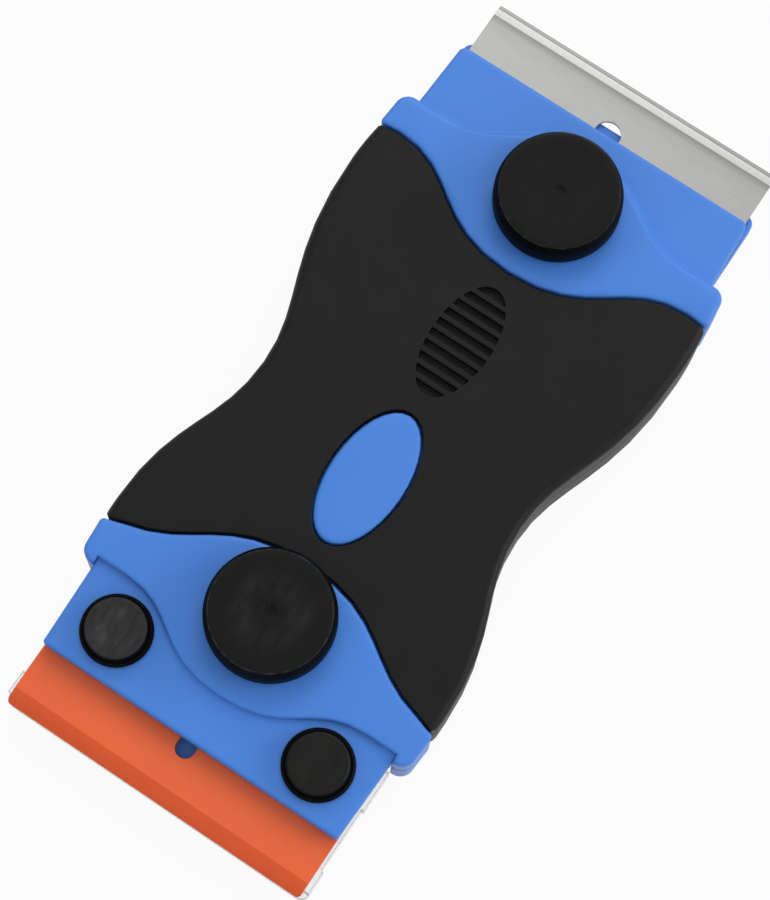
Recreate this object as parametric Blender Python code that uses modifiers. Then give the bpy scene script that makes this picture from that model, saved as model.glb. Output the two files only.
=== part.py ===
"""Two-ended hob scraper: a steel blade at the +Y end and a plastic blade at the -Y end.

Metres, +Z up. X runs across the blades, Y along the tool towards the steel blade.
The tool lies on its back on z = 0, with the origin under the middle of its length.
"""

import math
from collections import namedtuple

import bmesh
import bpy

# Fits
fit_gap = 0.0003            # running and assembly gap between neighbouring pieces
parting_gap = 0.0002        # seam between the upper and the lower half
overrun = 0.0010            # how far a cutter runs past the face it opens
bezier_circle_share = 0.5523   # handle length of a quarter circle, as a share of its radius

# Plan of the hourglass body, distances from the middle of the tool
overall_length = 0.1016
waist_half_width = 0.01765
waist_offset = 0.0024           # the waist lies this far towards the plastic blade
waist_handle_shares = (0.32, 0.40)      # metal side, plastic side, of the run from waist to shoulder
shoulder_handle_shares = (0.555, 0.505)
metal_shoulder_half_width = 0.0230
metal_shoulder_distance = 0.0240
plastic_shoulder_half_width = 0.0224
plastic_shoulder_distance = 0.0248

# S-shaped edge between the soft grip and the hard housing
grip_edge_span = 0.0200         # from the centre line to where the edge runs level
metal_grip_edge_depth = 0.00727
plastic_grip_edge_depth = 0.00762
grip_edge_handle_shares = (0.552, 0.423)     # at the centre line, at the level end
metal_grip_edge_distance = 0.0291
plastic_grip_edge_distance = 0.02695
metal_grip_edge_slope = 0.0     # slope of the S-shaped edge where it ends, 1 is 45 degrees
plastic_grip_edge_slope = 0.22
metal_grip_corner_distance = 0.0289     # where the edge meets the side
plastic_grip_corner_distance = 0.0275

# Raised lobe round each knob, and the wings beside it
step_span = 0.0163
step_depth = 0.0055
step_handle_shares = (0.564, 0.444)
metal_wing_distance = 0.0341
plastic_wing_distance = 0.0319
metal_wing_half_width = 0.0225
plastic_wing_half_width = 0.0222
plastic_ear_reach = 0.0010      # the wing runs past the step line beside the plate
ear_corner_radius = 0.0017
wing_flare = 0.0002             # the wing is this much wider beside the grip
grip_corner_radius = 0.0006

# Blade plates
metal_plate_root_half_width = 0.0204
metal_plate_tip_half_width = 0.0200
plastic_plate_root_half_width = 0.0202
plastic_plate_tip_half_width = 0.01985
metal_plate_corner_radius = 0.0009
plastic_plate_corner_radius = 0.0004
metal_clamp_half_width = 0.0203
plastic_clamp_half_width = 0.0192
metal_plate_front_distance = 0.0430
plastic_plate_front_distance = 0.0433
clamp_plate_lead = 0.0021       # the lower plate shows this far ahead of the upper one
clamp_corner_radius = 0.0012
clamp_plate_tail = 0.0042       # length behind the stud's axis
clamp_tail_half_width = 0.0070
clamp_shoulder_lead = 0.0010    # the full width starts this far ahead of the grip's edge

# Blades
metal_blade_half_width = 0.0195
metal_blade_thickness = 0.0004
metal_blade_depth = 0.0190
metal_bevel_width = 0.0014
metal_edge_width = 0.0003      # ground facet at the very edge
metal_facet_thickness = 0.00016
metal_tip_thickness = 0.00006
plastic_blade_half_width = 0.0198
plastic_blade_thickness = 0.0012
plastic_blade_depth = 0.0186
plastic_bevel_width = 0.0019
plastic_tip_thickness = 0.00035
plastic_corner_radius = 0.0005
slot_setback = 0.00675          # from the cutting edge to the centre of the slot's round end
metal_slot_radius = 0.00165
plastic_slot_radius = 0.0012

# Heights, from the table up
lobe_clearance = 0.0002
floor_thickness = 0.0013
clamp_travel = 0.0006
clamp_plate_thickness = 0.0024
clamp_flange_thickness = 0.0009
clamp_flange_width = 0.0008
upper_plate_thickness = 0.0019
lobe_step = 0.0008
grip_proud = 0.0001
grip_wall = 0.0013
lobe_rim_radius = 0.0006
plate_rim_radius = 0.00025
grip_shoulder_radius = 0.0017
grip_edge_radius = 0.0005

# Knobs, with the stud moulded into each
metal_knob_distance = 0.03235
plastic_knob_distance = 0.02695
knob_radius = 0.00758
knob_height = 0.0038
knob_edge_radius = 0.0004
knob_dish_radius = 0.0046
knob_dish_slope = 0.0016
knob_dish_depth = 0.00006
gate_radius = 0.0004
gate_depth = 0.0002
stud_radius = 0.00125
stud_head_radius = 0.0025
stud_head_height = 0.0016
nut_width = 0.0050
nut_height = 0.0016
washer_radius = 0.00325
washer_thickness = 0.0005

# Rib panel and oval window in the upper grip
rib_panel_centre = 0.0119
rib_panel_half_length = 0.0076
rib_panel_half_width = 0.00375
rib_slot_count = 10
rib_width = 0.0006
rib_slot_depth = 0.0008
window_centre = -0.00745
window_half_length = 0.0091
window_half_width = 0.0048
pad_recess = 0.0001
pad_rim_radius = 0.0003

# Locating pins of the plastic blade and the caps that cover them
pin_side_distance = 0.0136
pin_distance = 0.03765
pin_radius = 0.0015
cap_radius = 0.0042
cap_height = 0.0019
cap_shoulder_radius = 0.0007
cap_ring_drop = 0.00025
cap_ring_width = 0.00035
cap_skirt_height = 0.0006

# Housing screws
screw_side_distance = 0.0120
metal_screw_distance = 0.0130
plastic_screw_distance = 0.0120
screw_head_radius = 0.0022
screw_head_height = 0.0012
screw_recess = 0.0009
screw_radius = 0.0011
screw_length = 0.0050

# Clear guard under the plastic-blade end
guard_floor_thickness = 0.0008
guard_wall = 0.0006
guard_front_setback = 0.0001
guard_rear_distance = 0.0334
guard_floor_rear_distance = 0.0382
guard_ear_length = 0.0052
guard_ear_proud = 0.0003        # ears and cheeks stand out from the side walls
guard_cheek_length = 0.0039
guard_lip_width = 0.0008
guard_lip_height = 0.0018
guard_corner_radius = 0.0010
guard_hook_width = 0.0008
guard_hook_height = 0.0005

# Worked-out heights
floor_top = lobe_clearance + floor_thickness
blade_plane = (floor_top + clamp_travel + fit_gap + clamp_plate_thickness + fit_gap
               + plastic_blade_thickness / 2)
plate_top = blade_plane + plastic_blade_thickness / 2 + fit_gap + upper_plate_thickness
lobe_top = plate_top + lobe_step
grip_top = lobe_top + grip_proud
core_top = grip_top - grip_wall - fit_gap
core_bottom = grip_wall + fit_gap
upper_seam = blade_plane + parting_gap / 2
lower_seam = blade_plane - parting_gap / 2
knob_bottom = lobe_top + fit_gap

# Both ends share their construction, so each is a record of its own sizes
End = namedtuple("End", "name sign shoulder_half_width shoulder_distance waist_share shoulder_share "
                 "grip_edge edge_depth edge_slope grip_corner wing wing_half_width ear plate_root plate_tip "
                 "plate_corner plate_front clamp_half_width knob blade_half_width blade_thickness "
                 "blade_depth")
metal_end = End("metal_end", 1, metal_shoulder_half_width, metal_shoulder_distance,
                waist_handle_shares[0], shoulder_handle_shares[0], metal_grip_edge_distance,
                metal_grip_edge_depth, metal_grip_edge_slope, metal_grip_corner_distance,
                metal_wing_distance, metal_wing_half_width, metal_wing_distance,
                metal_plate_root_half_width, metal_plate_tip_half_width, metal_plate_corner_radius,
                metal_plate_front_distance, metal_clamp_half_width, metal_knob_distance,
                metal_blade_half_width, metal_blade_thickness, metal_blade_depth)
plastic_end = End("plastic_end", -1, plastic_shoulder_half_width, plastic_shoulder_distance,
                  waist_handle_shares[1], shoulder_handle_shares[1], plastic_grip_edge_distance,
                  plastic_grip_edge_depth, plastic_grip_edge_slope, plastic_grip_corner_distance,
                  plastic_wing_distance, plastic_wing_half_width,
                  plastic_wing_distance + plastic_ear_reach, plastic_plate_root_half_width,
                  plastic_plate_tip_half_width, plastic_plate_corner_radius,
                  plastic_plate_front_distance, plastic_clamp_half_width, plastic_knob_distance,
                  plastic_blade_half_width, plastic_blade_thickness, plastic_blade_depth)
ends = (metal_end, plastic_end)

# Drawing resolution
curve_steps = 8
small_curve_steps = 4
circle_steps = 28
knob_steps = 36
fastener_steps = 16
arc_steps = 3
rim_segments = 2
shoulder_segments = 3


# Scene and materials
for old in list(bpy.data.objects):
    bpy.data.objects.remove(old, do_unlink=True)

parts = bpy.data.collections.new("hob_scraper")
cutters = bpy.data.collections.new("hob_scraper_cutters")
bpy.context.scene.collection.children.link(parts)
bpy.context.scene.collection.children.link(cutters)


def material(name, colour, roughness, metallic=0.0, transmission=0.0):
    made = bpy.data.materials.new(name)
    made.use_nodes = True
    shader = made.node_tree.nodes["Principled BSDF"]
    shader.inputs["Base Color"].default_value = (*colour, 1.0)
    shader.inputs["Roughness"].default_value = roughness
    shader.inputs["Metallic"].default_value = metallic
    shader.inputs["Transmission Weight"].default_value = transmission
    made.diffuse_color = (*colour, 1.0)
    return made


blue_plastic = material("blue_plastic", (0.08, 0.23, 0.68), 0.42)
soft_black = material("soft_black", (0.017, 0.017, 0.017), 0.65)
knob_black = material("knob_black", (0.012, 0.012, 0.012), 0.5)
orange_plastic = material("orange_plastic", (0.75, 0.15, 0.06), 0.45)
blade_steel = material("blade_steel", (0.55, 0.54, 0.52), 0.3, metallic=1.0)
hardware_steel = material("hardware_steel", (0.5, 0.5, 0.5), 0.35, metallic=1.0)
clear_plastic = material("clear_plastic", (0.9, 0.92, 0.93), 0.15, transmission=0.8)


def place(name, mesh, look, collection=parts):
    piece = bpy.data.objects.new(name, mesh)
    collection.objects.link(piece)
    if look is not None:
        mesh.materials.clear()
        mesh.materials.append(look)
    if collection is cutters:
        piece.hide_render = True
        piece.display_type = 'WIRE'
    return piece


# Flat outlines: a knot is a place with a handle before it and one after it, both as
# offsets; a missing handle leaves that side straight
Knot = namedtuple("Knot", "x y before after", defaults=(None, None))


def mirrored_loop(right_side):
    """Closes an outline that is symmetric about x = 0 from its right-hand knots."""
    def flipped(handle):
        return None if handle is None else (-handle[0], handle[1])

    closed = []
    for knot in right_side:
        if knot.x == 0.0:
            knot = knot._replace(before=knot.before or flipped(knot.after),
                                 after=knot.after or flipped(knot.before))
        closed.append(knot)
    for knot in reversed(right_side):
        if knot.x != 0.0:
            closed.append(Knot(-knot.x, knot.y, flipped(knot.after), flipped(knot.before)))
    return closed


def prism(name, loop, z_low, z_high, look=None, collection=parts, steps=curve_steps):
    """A flat outline of knots, given a thickness from z_low to z_high."""
    curve = bpy.data.curves.new(name, 'CURVE')
    curve.dimensions = '2D'
    curve.fill_mode = 'BOTH'
    curve.resolution_u = steps
    curve.extrude = (z_high - z_low) / 2
    spline = curve.splines.new('BEZIER')
    spline.bezier_points.add(len(loop) - 1)
    spline.use_cyclic_u = True
    for point, knot in zip(spline.bezier_points, loop):
        point.co = (knot.x, knot.y, 0.0)
        point.handle_left_type = 'VECTOR' if knot.before is None else 'FREE'
        point.handle_right_type = 'VECTOR' if knot.after is None else 'FREE'
        if knot.before is not None:
            point.handle_left = (knot.x + knot.before[0], knot.y + knot.before[1], 0.0)
        if knot.after is not None:
            point.handle_right = (knot.x + knot.after[0], knot.y + knot.after[1], 0.0)
    flat = bpy.data.objects.new(name + "_outline", curve)
    bpy.context.scene.collection.objects.link(flat)
    flat.location.z = (z_low + z_high) / 2
    bpy.context.view_layer.update()
    mesh = bpy.data.meshes.new_from_object(flat.evaluated_get(bpy.context.evaluated_depsgraph_get()))
    mesh.transform(flat.matrix_world)
    bpy.data.objects.remove(flat)
    shape = bmesh.new()
    shape.from_mesh(mesh)
    bmesh.ops.remove_doubles(shape, verts=shape.verts, dist=0.000002)
    middle = (z_low + z_high) / 2
    caps = [face for face in shape.faces
            if len({vert.co.z > middle for vert in face.verts}) == 1]
    bmesh.ops.delete(shape, geom=caps, context='FACES')
    rims = [edge for edge in shape.edges if edge.is_boundary]
    bmesh.ops.holes_fill(shape, edges=rims, sides=0)
    bmesh.ops.recalc_face_normals(shape, faces=shape.faces)
    shape.to_mesh(mesh)
    shape.free()
    return place(name, mesh, look, collection)


def corner(x, y, radius, into, out_of):
    """Two knots that round a square corner; into and out_of are unit directions of travel."""
    handle = radius * bezier_circle_share
    return [Knot(x - into[0] * radius, y - into[1] * radius, None, (into[0] * handle, into[1] * handle)),
            Knot(x + out_of[0] * radius, y + out_of[1] * radius,
                 (-out_of[0] * handle, -out_of[1] * handle), None)]


def box(name, x_span, y_span, z_span, look=None, collection=cutters):
    mesh = bpy.data.meshes.new(name)
    shape = bmesh.new()
    bmesh.ops.create_cube(shape, size=1.0)
    for vert in shape.verts:
        for axis, (low, high) in enumerate((x_span, y_span, z_span)):
            vert.co[axis] = low if vert.co[axis] < 0.0 else high
    bmesh.ops.recalc_face_normals(shape, faces=shape.faces)
    shape.to_mesh(mesh)
    shape.free()
    return place(name, mesh, look, collection)


def rod(name, x, y, radius, z_low, z_high, steps=circle_steps, look=None, collection=cutters):
    mesh = bpy.data.meshes.new(name)
    shape = bmesh.new()
    bmesh.ops.create_cone(shape, cap_ends=True, segments=steps, radius1=radius, radius2=radius,
                          depth=z_high - z_low)
    bmesh.ops.translate(shape, verts=shape.verts, vec=(x, y, (z_low + z_high) / 2))
    shape.to_mesh(mesh)
    shape.free()
    return place(name, mesh, look, collection)


def oval_loop(centre, half_length, half_width):
    reach = half_length * bezier_circle_share
    side = half_width * bezier_circle_share
    return [Knot(0.0, centre + half_length, (-side, 0.0), (side, 0.0)),
            Knot(half_width, centre, (0.0, reach), (0.0, -reach)),
            Knot(0.0, centre - half_length, (side, 0.0), (-side, 0.0)),
            Knot(-half_width, centre, (0.0, -reach), (0.0, reach))]


def turned(name, profile, x, y, look, steps=circle_steps, closed=False):
    """A turned piece: the profile of (radius, height) runs down its outer side."""
    mesh = bpy.data.meshes.new(name)
    shape = bmesh.new()
    verts = [shape.verts.new((radius, 0.0, height)) for radius, height in profile]
    for first, second in zip(verts, verts[1:]):
        shape.edges.new((first, second))
    if closed:
        shape.edges.new((verts[-1], verts[0]))
    shape.to_mesh(mesh)
    shape.free()
    piece = place(name, mesh, look)
    piece.location = (x, y, 0.0)
    screw = piece.modifiers.new("turn", 'SCREW')
    screw.axis = 'Z'
    screw.steps = steps
    screw.render_steps = steps
    screw.use_merge_vertices = True
    screw.merge_threshold = 0.00001
    screw.use_smooth_shade = True
    return piece


def arc(centre_r, centre_z, radius, start_degrees, end_degrees):
    """Points of a quarter round in a turned profile."""
    points = []
    for step in range(arc_steps + 1):
        angle = math.radians(start_degrees + (end_degrees - start_degrees) * step / arc_steps)
        points.append((centre_r + radius * math.cos(angle), centre_z + radius * math.sin(angle)))
    return points


def round_rims(piece, radius, *heights, segments=rim_segments):
    """Rounds the rims of a prism that lie at the given heights."""
    mesh = piece.data
    weights = mesh.attributes.new("bevel_weight_edge", 'FLOAT', 'EDGE')
    close = radius / 100
    for edge in mesh.edges:
        for height in heights:
            if all(abs(mesh.vertices[index].co.z - height) < close for index in edge.vertices):
                weights.data[edge.index].value = 1.0
    bevel = piece.modifiers.new("rims", 'BEVEL')
    bevel.limit_method = 'WEIGHT'
    bevel.width = radius
    bevel.segments = segments
    bevel.use_clamp_overlap = True


def combine(piece, others, operation):
    """One exact boolean of a piece with a group of cutters."""
    group = bpy.data.collections.new(f"{piece.name}_{operation.lower()}")
    cutters.children.link(group)
    for other in others:
        group.objects.link(other)
    boolean = piece.modifiers.new(operation.lower(), 'BOOLEAN')
    boolean.operation = operation
    boolean.solver = 'EXACT'
    boolean.operand_type = 'COLLECTION'
    boolean.collection = group


def cut(piece, *others):
    combine(piece, others, 'DIFFERENCE')


def add(piece, *others):
    combine(piece, others, 'UNION')


def keep_within(piece, region):
    combine(piece, [region], 'INTERSECT')


def along(end, *distances):
    """Turns distances from the middle of the tool into a rising pair of y values, or one y value."""
    values = sorted(end.sign * distance for distance in distances)
    return values[0] if len(values) == 1 else tuple(values)


# Hourglass sides, inset for what lies inside the grip
def side_knots(inset, metal_corner, plastic_corner):
    """Right-hand side from the metal end's corner to the plastic end's corner."""
    metal_run = metal_shoulder_distance + waist_offset
    plastic_run = plastic_shoulder_distance - waist_offset
    metal_handle = metal_corner[1] - metal_shoulder_distance
    plastic_handle = plastic_corner[1] + plastic_shoulder_distance
    return [
        Knot(metal_corner[0] - inset, metal_corner[1], None, (0.0, -metal_handle / 2)),
        Knot(metal_shoulder_half_width - inset, metal_shoulder_distance, (0.0, metal_handle / 2),
             (0.0, -metal_run * metal_end.shoulder_share)),
        Knot(waist_half_width - inset, -waist_offset, (0.0, metal_run * metal_end.waist_share),
             (0.0, -plastic_run * plastic_end.waist_share)),
        Knot(plastic_shoulder_half_width - inset, -plastic_shoulder_distance,
             (0.0, plastic_run * plastic_end.shoulder_share), (0.0, plastic_handle / 2)),
        Knot(plastic_corner[0] - inset, plastic_corner[1], (0.0, -plastic_handle / 2), None),
    ]


def wing_side(end):
    """Where the wing's straight side starts, ahead of its corner radius."""
    return (end.wing_half_width, end.sign * (end.ear - ear_corner_radius))


def grip_edge_knots(end, shift):
    """The S-shaped edge from the centre line to its outer end, moved by shift towards the blade."""
    level = end.grip_edge + shift
    leave = grip_edge_span * grip_edge_handle_shares[0]
    reach = grip_edge_span * grip_edge_handle_shares[1]
    return [
        Knot(0.0, end.sign * (level - end.edge_depth), None, (leave, 0.0)),
        Knot(grip_edge_span, end.sign * level, (-reach, -end.sign * reach * end.edge_slope), None),
    ]


def reverse(knots):
    return [Knot(knot.x, knot.y, knot.after, knot.before) for knot in reversed(knots)]


# Upper and lower grip: soft black mouldings over the waist, one on each half
grip_sides = side_knots(0.0, wing_side(metal_end), wing_side(plastic_end))
wide = metal_shoulder_half_width + overrun


def grip_corner(end):
    """The rounded corner where the S-shaped edge meets the side; the outline then leaves the side."""
    side = (end.shoulder_half_width + end.wing_half_width) / 2
    level = end.sign * end.grip_corner
    knots = corner(side, level, grip_corner_radius, (1.0, 0.0), (0.0, -end.sign))
    return knots + [Knot(wide, level - end.sign * 2 * grip_corner_radius)]


def grip_region(name, z_low, z_high):
    """Everything between the two S-shaped edges."""
    right_side = grip_edge_knots(metal_end, 0.0) + grip_corner(metal_end)
    right_side += reverse(grip_edge_knots(plastic_end, 0.0) + grip_corner(plastic_end))
    return prism(name, mirrored_loop(right_side), z_low, z_high, collection=cutters)


def grip_half(name, seam, face):
    """A shell from the seam out to its face; the face and the S-shaped edges are rounded."""
    low, high = sorted((seam, face))
    outward = math.copysign(1.0, face - seam)
    half = prism(name, mirrored_loop(grip_sides), low, high, soft_black)
    round_rims(half, grip_shoulder_radius, face, segments=shoulder_segments)
    low, high = sorted((seam - outward * overrun, face))
    region = grip_region(name + "_region", low, high)
    round_rims(region, grip_edge_radius, face)
    keep_within(half, region)
    low, high = sorted((seam - outward * overrun, face - outward * grip_wall))
    cut(half, prism(name + "_cavity", mirrored_loop(side_knots(grip_wall, wing_side(metal_end),
                                                               wing_side(plastic_end))),
                    low, high, collection=cutters))
    return half


upper_grip = grip_half("upper_grip", upper_seam, grip_top)
lower_grip = grip_half("lower_grip", lower_seam, 0.0)

# Rib panel: an oval of recessed slots between flush ribs
rib_panel = prism("rib_panel", oval_loop(rib_panel_centre, rib_panel_half_length, rib_panel_half_width),
                  grip_top - rib_slot_depth, grip_top + overrun, collection=cutters)
rib_pitch = 2 * rib_panel_half_length / rib_slot_count
ribs = []
for index in range(1, rib_slot_count):
    rib_y = rib_panel_centre - rib_panel_half_length + index * rib_pitch
    ribs.append(box(f"rib_{index}", (-wide, wide), (rib_y - rib_width / 2, rib_y + rib_width / 2),
                    (grip_top - rib_slot_depth - overrun, grip_top + 2 * overrun)))
cut(rib_panel, *ribs)
window = prism("grip_window", oval_loop(window_centre, window_half_length, window_half_width),
               grip_top - grip_wall - overrun, grip_top + overrun, collection=cutters)
cut(upper_grip, rib_panel, window)


# Upper and lower housing: hard blue halves with a lobe and two wings at each end
def lobe_loop(end):
    side = wing_side(end)
    front = end.sign * (end.wing + step_depth)
    level = end.sign * end.wing
    ear = end.sign * end.ear
    rear_side = end.sign * (end.grip_corner + fit_gap)
    right_side = [
        Knot(0.0, front, None, (step_span * step_handle_shares[0], 0.0)),
        Knot(step_span, level, (-step_span * step_handle_shares[1], 0.0), None),
    ]
    if end.ear > end.wing:
        right_side += [Knot(end.plate_root, level), Knot(end.plate_root, ear)]
    right_side += corner(side[0], ear, ear_corner_radius, (1.0, 0.0), (0.0, -end.sign))
    right_side += corner(side[0] + wing_flare, rear_side, grip_corner_radius, (0.0, -end.sign), (-1.0, 0.0))
    right_side += reverse(grip_edge_knots(end, fit_gap))
    return mirrored_loop(right_side)


def lobe(end, half, seam, face):
    """Runs past the seam, where the whole half is trimmed level afterwards."""
    past = seam - math.copysign(2 * overrun, face - seam)
    low, high = sorted((past, face))
    block = prism(f"{end.name}_{half}_lobe", lobe_loop(end), low, high, collection=cutters)
    round_rims(block, lobe_rim_radius, face)
    return block


def plate_loop(end):
    right_side = corner(end.plate_tip, end.sign * end.plate_front, end.plate_corner, (1.0, 0.0),
                        (0.0, -end.sign))
    right_side.append(Knot(end.plate_root, end.sign * end.wing))
    right_side.append(Knot(end.plate_root, end.sign * (end.wing - ear_corner_radius)))
    return mirrored_loop(right_side)


def core(name, z_low, z_high, look):
    inset = grip_wall + fit_gap
    sides = side_knots(inset, wing_side(metal_end), wing_side(plastic_end))
    return prism(name, mirrored_loop(sides), z_low, z_high, look)


upper_housing = core("upper_housing", upper_seam - overrun, core_top, blue_plastic)
lower_housing = core("lower_housing", core_bottom, lower_seam + overrun, blue_plastic)

for end in ends:
    plate = prism(f"{end.name}_plate", plate_loop(end), blade_plane + parting_gap, plate_top,
                  collection=cutters)
    round_rims(plate, plate_rim_radius, plate_top)
    add(upper_housing, lobe(end, "upper", upper_seam, lobe_top), plate)
    add(lower_housing, lobe(end, "lower", lower_seam, lobe_clearance))

pad = prism("window_pad", oval_loop(window_centre, window_half_length - fit_gap, window_half_width - fit_gap),
            core_top - overrun, grip_top - pad_recess, collection=cutters)
round_rims(pad, pad_rim_radius, grip_top - pad_recess)
add(upper_housing, pad)
reach = overall_length
below_seam = box("below_seam", (-reach, reach), (-reach, reach), (-reach, upper_seam))
above_seam = box("above_seam", (-reach, reach), (-reach, reach), (lower_seam, reach))
cut(upper_housing, below_seam)
cut(lower_housing, above_seam)

def clamp_loop(end, gap):
    """The clamp plate in plan: full width ahead, a narrow tail round the stud behind."""
    half = end.clamp_half_width + gap
    tail = clamp_tail_half_width + gap
    shoulder = end.sign * (end.grip_edge + clamp_shoulder_lead - gap)
    tip = end.sign * (end.plate_front + clamp_plate_lead + gap)
    right_side = corner(half, tip, clamp_corner_radius, (1.0, 0.0), (0.0, -end.sign))
    right_side.append(Knot(half, shoulder))
    right_side.append(Knot(tail, shoulder))
    right_side.append(Knot(tail, end.sign * (end.knob - clamp_plate_tail - gap)))
    return mirrored_loop(right_side)


# Pockets for the blades and the clamp plates, open to the front
for end in ends:
    blade_rear = overall_length / 2 - end.blade_depth
    retracted = overall_length / 2 - end.plate_front if end is metal_end else 0.0
    roof = blade_plane + end.blade_thickness / 2 + fit_gap
    ceiling = blade_plane - end.blade_thickness / 2 - fit_gap
    inner = end.blade_half_width + fit_gap
    outside = overall_length / 2 + overrun
    blade_bay = box(f"{end.name}_blade_bay", (-inner, inner),
                    along(end, blade_rear - retracted - fit_gap, outside), (ceiling, roof))
    mouth = box(f"{end.name}_mouth", (-wide, wide), along(end, end.ear + fit_gap, outside),
                (floor_top, roof))
    stud_hole = rod(f"{end.name}_stud_hole", 0.0, end.sign * end.knob, stud_radius + fit_gap,
                    upper_seam - overrun, lobe_top + overrun)
    washer_seat = rod(f"{end.name}_washer_seat", 0.0, end.sign * end.knob, washer_radius + fit_gap,
                      lobe_top - washer_thickness - fit_gap, lobe_top + overrun)
    cut(upper_housing, blade_bay, mouth, stud_hole, washer_seat)

    clamp_bay = prism(f"{end.name}_clamp_bay", clamp_loop(end, fit_gap), floor_top,
                      lower_seam + overrun, collection=cutters)
    cut(lower_housing, clamp_bay, blade_bay, mouth)

# Screw holes through the lower half and pilot holes in the upper half
screw_tip = screw_recess + screw_head_height + screw_length
screw_places = {
    "front_left": (-screw_side_distance, metal_screw_distance),
    "front_right": (screw_side_distance, metal_screw_distance),
    "rear_left": (-screw_side_distance, -plastic_screw_distance),
    "rear_right": (screw_side_distance, -plastic_screw_distance),
}
for place_name, (x, y) in screw_places.items():
    head_hole = rod(f"screw_head_hole_{place_name}", x, y, screw_head_radius + fit_gap, -overrun,
                    screw_recess + screw_head_height + fit_gap)
    shank_hole = rod(f"screw_hole_{place_name}", x, y, screw_radius + fit_gap, -overrun,
                     screw_tip + fit_gap)
    cut(lower_grip, head_hole)
    cut(lower_housing, head_hole, shank_hole)
    cut(upper_housing, shank_hole)
    turned(f"housing_screw_{place_name}", [
        (0.0, screw_tip), (screw_radius / 2, screw_tip), (screw_radius, screw_tip - screw_radius),
        (screw_radius, screw_recess + screw_head_height),
        (screw_head_radius, screw_recess + screw_head_height),
        (screw_head_radius, screw_recess), (0.0, screw_recess),
    ], x, y, hardware_steel, steps=fastener_steps)

# Locating pins of the plastic blade, pressed into the upper plate under their caps
pin_bottom = blade_plane - plastic_blade_thickness / 2 - fit_gap - clamp_plate_thickness + fit_gap
pin_top = plate_top + cap_height - cap_shoulder_radius
cap_bottom = plate_top + fit_gap / 2
for side_name, side in (("left", -1), ("right", 1)):
    x = side * pin_side_distance
    y = -pin_distance
    cut(upper_housing, rod(f"{side_name}_pin_hole", x, y, pin_radius + fit_gap / 2,
                           blade_plane, plate_top + overrun))
    turned(f"{side_name}_locating_pin", [(0.0, pin_top), (pin_radius, pin_top),
                                         (pin_radius, pin_bottom), (0.0, pin_bottom)],
           x, y, hardware_steel, steps=fastener_steps)
    crown = plate_top + cap_height
    flat = cap_radius - cap_ring_width - cap_shoulder_radius
    turned(f"{side_name}_cap", [
        (0.0, crown),
        *arc(flat, crown - cap_shoulder_radius, cap_shoulder_radius, 90.0, 0.0),
        (cap_radius - cap_ring_width, cap_bottom + cap_skirt_height + cap_ring_drop),
        (cap_radius, cap_bottom + cap_skirt_height),
        (cap_radius, cap_bottom),
        (pin_radius + fit_gap, cap_bottom),
        (pin_radius + fit_gap, pin_top + fit_gap),
        (0.0, pin_top + fit_gap),
    ], x, y, knob_black)


# Clamp plates: the lower jaw of each end, drawn up against the blade by the knob
for end in ends:
    top = blade_plane - end.blade_thickness / 2 - fit_gap
    bottom = top - clamp_plate_thickness
    half = end.clamp_half_width
    clamp = prism(f"{end.name}_clamp_plate", clamp_loop(end, 0.0), bottom, top, blue_plastic)
    round_rims(clamp, plate_rim_radius, bottom, top)
    y = end.sign * end.knob
    nut_half = nut_width / 2 + fit_gap
    openings = [
        rod(f"{end.name}_clamp_hole", 0.0, y, stud_radius + fit_gap, bottom - overrun, top + overrun),
        box(f"{end.name}_nut_pocket", (-nut_half, nut_half), (y - nut_half, y + nut_half),
            (bottom - overrun, bottom + nut_height + fit_gap)),
    ]
    if end is plastic_end:
        for side_name, side in (("left", -1), ("right", 1)):
            openings.append(rod(f"{side_name}_clamp_pin_hole", side * pin_side_distance, -pin_distance,
                                pin_radius + fit_gap, bottom - overrun, top + overrun))
            flange_x = sorted((side * (half - clamp_flange_width), side * (half + overrun)))
            openings.append(box(f"{side_name}_clamp_flange", flange_x,
                                along(end, end.ear, end.plate_front + 2 * clamp_plate_lead),
                                (bottom + clamp_flange_thickness, top + overrun)))
    cut(clamp, *openings)

    nut = box(f"{end.name}_nut", (-nut_width / 2, nut_width / 2), (y - nut_width / 2, y + nut_width / 2),
              (bottom, bottom + nut_height), hardware_steel, parts)
    cut(nut, rod(f"{end.name}_nut_bore", 0.0, y, stud_radius + fit_gap, bottom - overrun,
                 bottom + nut_height + overrun))


# Blades: the section across the cutting edge, carried across the width
def blade_section(name, end, points, look):
    """Extrudes a (y, z) section across the blade; y is measured back from the cutting edge."""
    mesh = bpy.data.meshes.new(name)
    shape = bmesh.new()
    ring = [shape.verts.new((-end.blade_half_width, end.sign * (overall_length / 2 - back), blade_plane + height))
            for back, height in points]
    face = shape.faces.new(ring)
    swept = bmesh.ops.extrude_face_region(shape, geom=[face])
    moved = [item for item in swept["geom"] if isinstance(item, bmesh.types.BMVert)]
    bmesh.ops.translate(shape, verts=moved, vec=(2 * end.blade_half_width, 0.0, 0.0))
    bmesh.ops.recalc_face_normals(shape, faces=shape.faces)
    shape.to_mesh(mesh)
    shape.free()
    return place(name, mesh, look)


def rear_slot(name, end, x, slot_centre, radius):
    """A slot with a round front end, open at the blade's rear."""
    rear = overall_length / 2 - end.blade_depth - overrun
    y = end.sign * slot_centre
    handle = radius * bezier_circle_share
    loop = [
        Knot(x - radius, end.sign * rear),
        Knot(x - radius, y, None, (0.0, end.sign * handle)),
        Knot(x, y + end.sign * radius, (-handle, 0.0), (handle, 0.0)),
        Knot(x + radius, y, (0.0, end.sign * handle), None),
        Knot(x + radius, end.sign * rear),
    ]
    return prism(name, loop, blade_plane - overrun, blade_plane + overrun, collection=cutters,
                 steps=small_curve_steps)


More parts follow.
